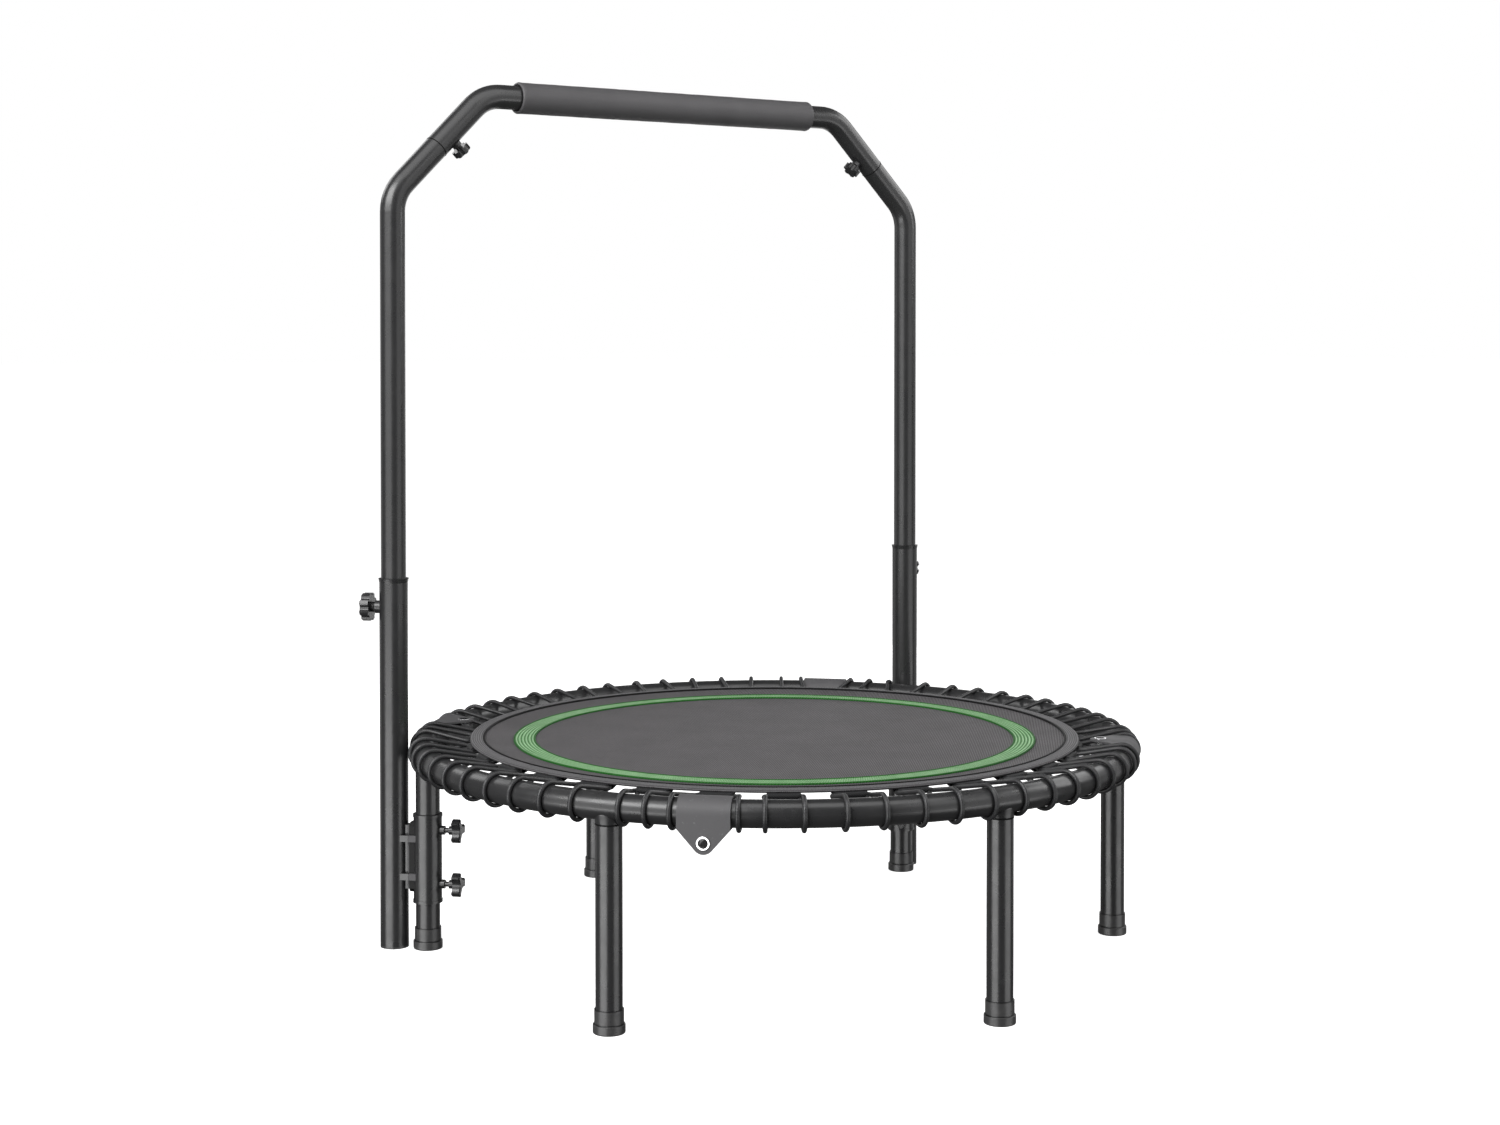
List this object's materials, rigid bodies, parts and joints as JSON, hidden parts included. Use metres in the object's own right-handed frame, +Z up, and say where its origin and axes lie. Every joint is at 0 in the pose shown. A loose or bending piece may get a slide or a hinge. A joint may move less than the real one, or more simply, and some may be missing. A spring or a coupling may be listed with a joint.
{
  "type": "mini trampoline",
  "caption": "Round folding rebounder with a bungee-laced woven mat, screw-on legs, hinged ring and a height-adjustable padded handle bar.",
  "frame": {"origin": "on the floor, under the centre of the ring", "axes": "+Z up; +Y from the ring's centre towards the handle; +X to the user's right when facing the handle"},
  "size_m": [1.0324, 1.0324, 1.23],
  "materials": {
    "powder_coat": "satin black powder coat, fine orange peel",
    "bracket_paint": "satin dark grey paint on folded sheet",
    "steel": "zinc plated thread",
    "chrome": "polished rolled rivet",
    "rubber": "matt moulded rubber",
    "plastic": "moulded plastic, satin",
    "foam": "fine closed cell foam",
    "mat_fabric": "woven polypropylene, black with grey flecks",
    "webbing": "grey stitched edge webbing",
    "stitch_green": "green stitched ring",
    "cord": "braided elastic cord sleeve"
  },
  "bodies": {
    "east_half": {"bungee_cord_east": "cord", "clamp_bosses_right": "powder_coat", "clamp_lugs_right": "powder_coat", "clamp_sleeve_right": "powder_coat", "edge_band_east": "webbing", "fold_channel_north": "bracket_paint", "fold_channel_south": "bracket_paint", "foot_caps_east": "rubber", "height_bosses": "powder_coat", "hinge_rivets_east": "chrome", "leg_back_right": "powder_coat", "leg_front_right": "powder_coat", "leg_right": "powder_coat", "leg_stubs_east": "powder_coat", "leg_studs_east": "steel", "loop_bars_east": "plastic", "lower_post_left": "powder_coat", "lower_post_right": "powder_coat", "mat_east": "mat_fabric", "post_bushings": "plastic", "post_plugs": "rubber", "rail_strips": "powder_coat", "ring_tube_front": "powder_coat", "ring_tube_right": "powder_coat", "side_channel_east": "bracket_paint", "side_lug_east": "bracket_paint"},
    "west_half": {"ring_tube_back": "powder_coat", "ring_tube_left": "powder_coat", "fold_lugs": "bracket_paint", "side_channel_west": "bracket_paint", "side_lug_west": "bracket_paint", "hinge_rivet_west": "chrome", "leg_stubs_west": "powder_coat", "leg_studs_west": "steel", "foot_caps_west": "rubber", "leg_back_left": "powder_coat", "leg_left": "powder_coat", "leg_front_left": "powder_coat", "mat_west": "mat_fabric", "edge_band_west": "webbing", "loop_bars_west": "plastic", "bungee_cord_west": "cord", "clamp_sleeve_left": "powder_coat", "clamp_lugs_left": "powder_coat", "clamp_bosses_left": "powder_coat"},
    "upper_handle": {"upper_post_left": "powder_coat", "upper_post_right": "powder_coat", "top_bar": "powder_coat", "foam_grip": "foam", "top_bosses": "powder_coat"},
    "height_knob_left": {"height_knob_left": "plastic"},
    "top_knob_left": {"top_knob_left": "plastic"},
    "clamp_knob_left_low": {"clamp_knob_left_low": "plastic"},
    "clamp_knob_left_high": {"clamp_knob_left_high": "plastic"},
    "height_knob_right": {"height_knob_right": "plastic"},
    "top_knob_right": {"top_knob_right": "plastic"},
    "clamp_knob_right_low": {"clamp_knob_right_low": "plastic"},
    "clamp_knob_right_high": {"clamp_knob_right_high": "plastic"}
  },
  "joints": [
    {"name": "frame_fold", "type": "hinge", "parent": "east_half", "child": "west_half", "pos_m": [0, 0, 0.2485], "axis": [-0.7071, -0.7071, 0], "range_deg": [0, 120]},
    {"name": "handle_height", "type": "slide", "parent": "east_half", "child": "upper_handle", "axis": [0, 0, 1], "range_m": [-0.24, 0.05]},
    {"name": "height_knob_left_turn", "type": "hinge", "parent": "east_half", "child": "height_knob_left", "pos_m": [-0.459, 0.28, 0.48], "axis": [-0.7071, 0.7071, 0], "continuous": true},
    {"name": "top_knob_left_turn", "type": "hinge", "parent": "upper_handle", "child": "top_knob_left", "pos_m": [-0.37161, 0.28, 1.14838], "axis": [0.7071, 0, -0.7071], "continuous": true},
    {"name": "clamp_knob_left_low_turn", "type": "hinge", "parent": "west_half", "child": "clamp_knob_left_low", "pos_m": [-0.42435, 0.245, 0.091], "axis": [0.7071, -0.7071, 0], "continuous": true},
    {"name": "clamp_knob_left_high_turn", "type": "hinge", "parent": "west_half", "child": "clamp_knob_left_high", "pos_m": [-0.42435, 0.245, 0.167], "axis": [0.7071, -0.7071, 0], "continuous": true},
    {"name": "height_knob_right_turn", "type": "hinge", "parent": "east_half", "child": "height_knob_right", "pos_m": [0.459, 0.28, 0.48], "axis": [0.7071, 0.7071, 0], "continuous": true},
    {"name": "top_knob_right_turn", "type": "hinge", "parent": "upper_handle", "child": "top_knob_right", "pos_m": [0.37161, 0.28, 1.14838], "axis": [-0.7071, 0, -0.7071], "continuous": true},
    {"name": "clamp_knob_right_low_turn", "type": "hinge", "parent": "east_half", "child": "clamp_knob_right_low", "pos_m": [0.42435, 0.245, 0.091], "axis": [-0.7071, -0.7071, 0], "continuous": true},
    {"name": "clamp_knob_right_high_turn", "type": "hinge", "parent": "east_half", "child": "clamp_knob_right_high", "pos_m": [0.42435, 0.245, 0.167], "axis": [-0.7071, -0.7071, 0], "continuous": true}
  ]
}
